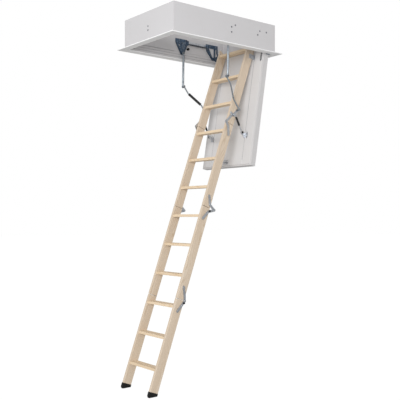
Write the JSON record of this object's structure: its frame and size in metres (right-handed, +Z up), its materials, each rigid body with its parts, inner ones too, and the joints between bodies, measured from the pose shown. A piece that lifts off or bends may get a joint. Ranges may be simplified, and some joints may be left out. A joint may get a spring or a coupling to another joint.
{
  "type": "attic ladder",
  "caption": "Folding wooden attic ladder with an insulated casing and a hinged leaf; the sections fold onto each other and the leaf swings on side pins.",
  "frame": {"origin": "centre of the casing's opening, level with the underside of the ceiling trim", "axes": "+X to the leaf's hinge end, +Y across the casing away from the viewed side, +Z up"},
  "size_m": [1.2685, 0.782, 3.05],
  "materials": {
    "casing_white": "satin white coating",
    "trim_white": "satin white coating",
    "leaf_white": "satin white coating",
    "leaf_edge": "satin white edge band",
    "seal_rubber": "matte",
    "blued_steel": "blued, satin",
    "dark_steel": "satin",
    "arm_steel": "zinc plated, satin",
    "zinc_steel": "zinc plated",
    "bolt_steel": "dark zinc",
    "black_rubber": "matte",
    "black_plastic": "moulded",
    "stringer_timber": "planed, clear",
    "tread_timber": "planed, clear"
  },
  "bodies": {
    "casing": {"casing_side_near": "casing_white", "casing_side_far": "casing_white", "casing_end_latch": "casing_white", "casing_end_hinge": "casing_white", "ceiling_trim": "trim_white", "casing_seal": "seal_rubber", "arm_bracket_near": "blued_steel", "arm_bracket_far": "blued_steel", "rear_brackets": "blued_steel", "spring_rails": "zinc_steel", "spring_tubes": "dark_steel", "arm_bumpers": "black_rubber", "casing_bolts": "bolt_steel", "latch_case": "zinc_steel"},
    "latch": {"latch_bolt": "zinc_steel"},
    "hatch": {"leaf_skin": "leaf_white", "leaf_core": "leaf_edge", "leaf_board": "leaf_white", "leaf_bushes": "zinc_steel", "top_angles": "zinc_steel", "strut_lugs": "zinc_steel", "struts": "zinc_steel", "strut_sleeves": "black_plastic", "latch_catch": "zinc_steel", "hinge_plates_1": "zinc_steel", "hinge_screws_1": "bolt_steel", "stringer_1_near": "stringer_timber", "stringer_1_far": "stringer_timber", "tread_01": "tread_timber", "tread_02": "tread_timber", "tread_03": "tread_timber"},
    "section_2": {"hinge_plates_2": "zinc_steel", "hinge_screws_2": "bolt_steel", "stringer_2_near": "stringer_timber", "stringer_2_far": "stringer_timber", "tread_04": "tread_timber", "tread_05": "tread_timber", "tread_06": "tread_timber"},
    "section_3": {"hinge_plates_3": "zinc_steel", "hinge_screws_3": "bolt_steel", "hinge_stops_3": "black_rubber", "stringer_3_near": "stringer_timber", "stringer_3_far": "stringer_timber", "tread_07": "tread_timber", "tread_08": "tread_timber", "tread_09": "tread_timber"},
    "section_4": {"hinge_plates_4": "zinc_steel", "hinge_screws_4": "bolt_steel", "hinge_stops_4": "black_rubber", "stringer_4_near": "stringer_timber", "stringer_4_far": "stringer_timber", "tread_10": "tread_timber", "tread_11": "tread_timber", "tread_12": "tread_timber", "foot_caps": "black_rubber"},
    "lever_near": {"arm_lever_near": "arm_steel"},
    "lever_far": {"arm_lever_far": "arm_steel"},
    "link_near": {"arm_link_near": "arm_steel"},
    "link_far": {"arm_link_far": "arm_steel", "arm_sleeve_far": "black_plastic"}
  },
  "joints": [
    {"name": "hatch", "type": "hinge", "parent": "casing", "child": "hatch", "pos_m": [0.48, 0, 0.014], "axis": [0, 1, 0], "range_deg": [0, 44]},
    {"name": "fold_upper", "type": "hinge", "parent": "hatch", "child": "section_2", "pos_m": [0.11003, 0, -0.59986], "axis": [0, 1, 0], "range_deg": [0, 180]},
    {"name": "fold_middle", "type": "hinge", "parent": "section_2", "child": "section_3", "pos_m": [-0.02151, 0, -1.35012], "axis": [0, -1, 0], "range_deg": [0, 180]},
    {"name": "fold_lower", "type": "hinge", "parent": "section_3", "child": "section_4", "pos_m": [-0.32955, 0, -2.07658], "axis": [0, -1, 0], "range_deg": [0, 180]},
    {"name": "lever_near", "type": "hinge", "parent": "casing", "child": "lever_near", "pos_m": [0.046, 0, 0.058], "axis": [0, 1, 0], "range_deg": [0, 85.37]},
    {"name": "elbow_near", "type": "hinge", "parent": "lever_near", "child": "link_near", "pos_m": [0.04, 0, -0.244], "axis": [0, 1, 0], "range_deg": [-94.61, 0]},
    {"name": "lever_far", "type": "hinge", "parent": "casing", "child": "lever_far", "pos_m": [0.046, 0, 0.058], "axis": [0, 1, 0], "range_deg": [0, 85.37]},
    {"name": "elbow_far", "type": "hinge", "parent": "lever_far", "child": "link_far", "pos_m": [0.04, 0, -0.244], "axis": [0, 1, 0], "range_deg": [-94.61, 0]},
    {"name": "latch_slide", "type": "slide", "parent": "casing", "child": "latch", "axis": [0, 0, 1], "range_m": [0, 0.012], "stiffness_N_per_m": 300, "springref_m": -0.004}
  ],
  "couplings": [
    {"joint": "fold_middle", "follows": "fold_upper", "ratio": 1},
    {"joint": "lever_near", "follows": "hatch", "ratio": 1.94},
    {"joint": "elbow_near", "follows": "hatch", "ratio": -2.15},
    {"joint": "lever_far", "follows": "hatch", "ratio": 1.94},
    {"joint": "elbow_far", "follows": "hatch", "ratio": -2.15}
  ]
}
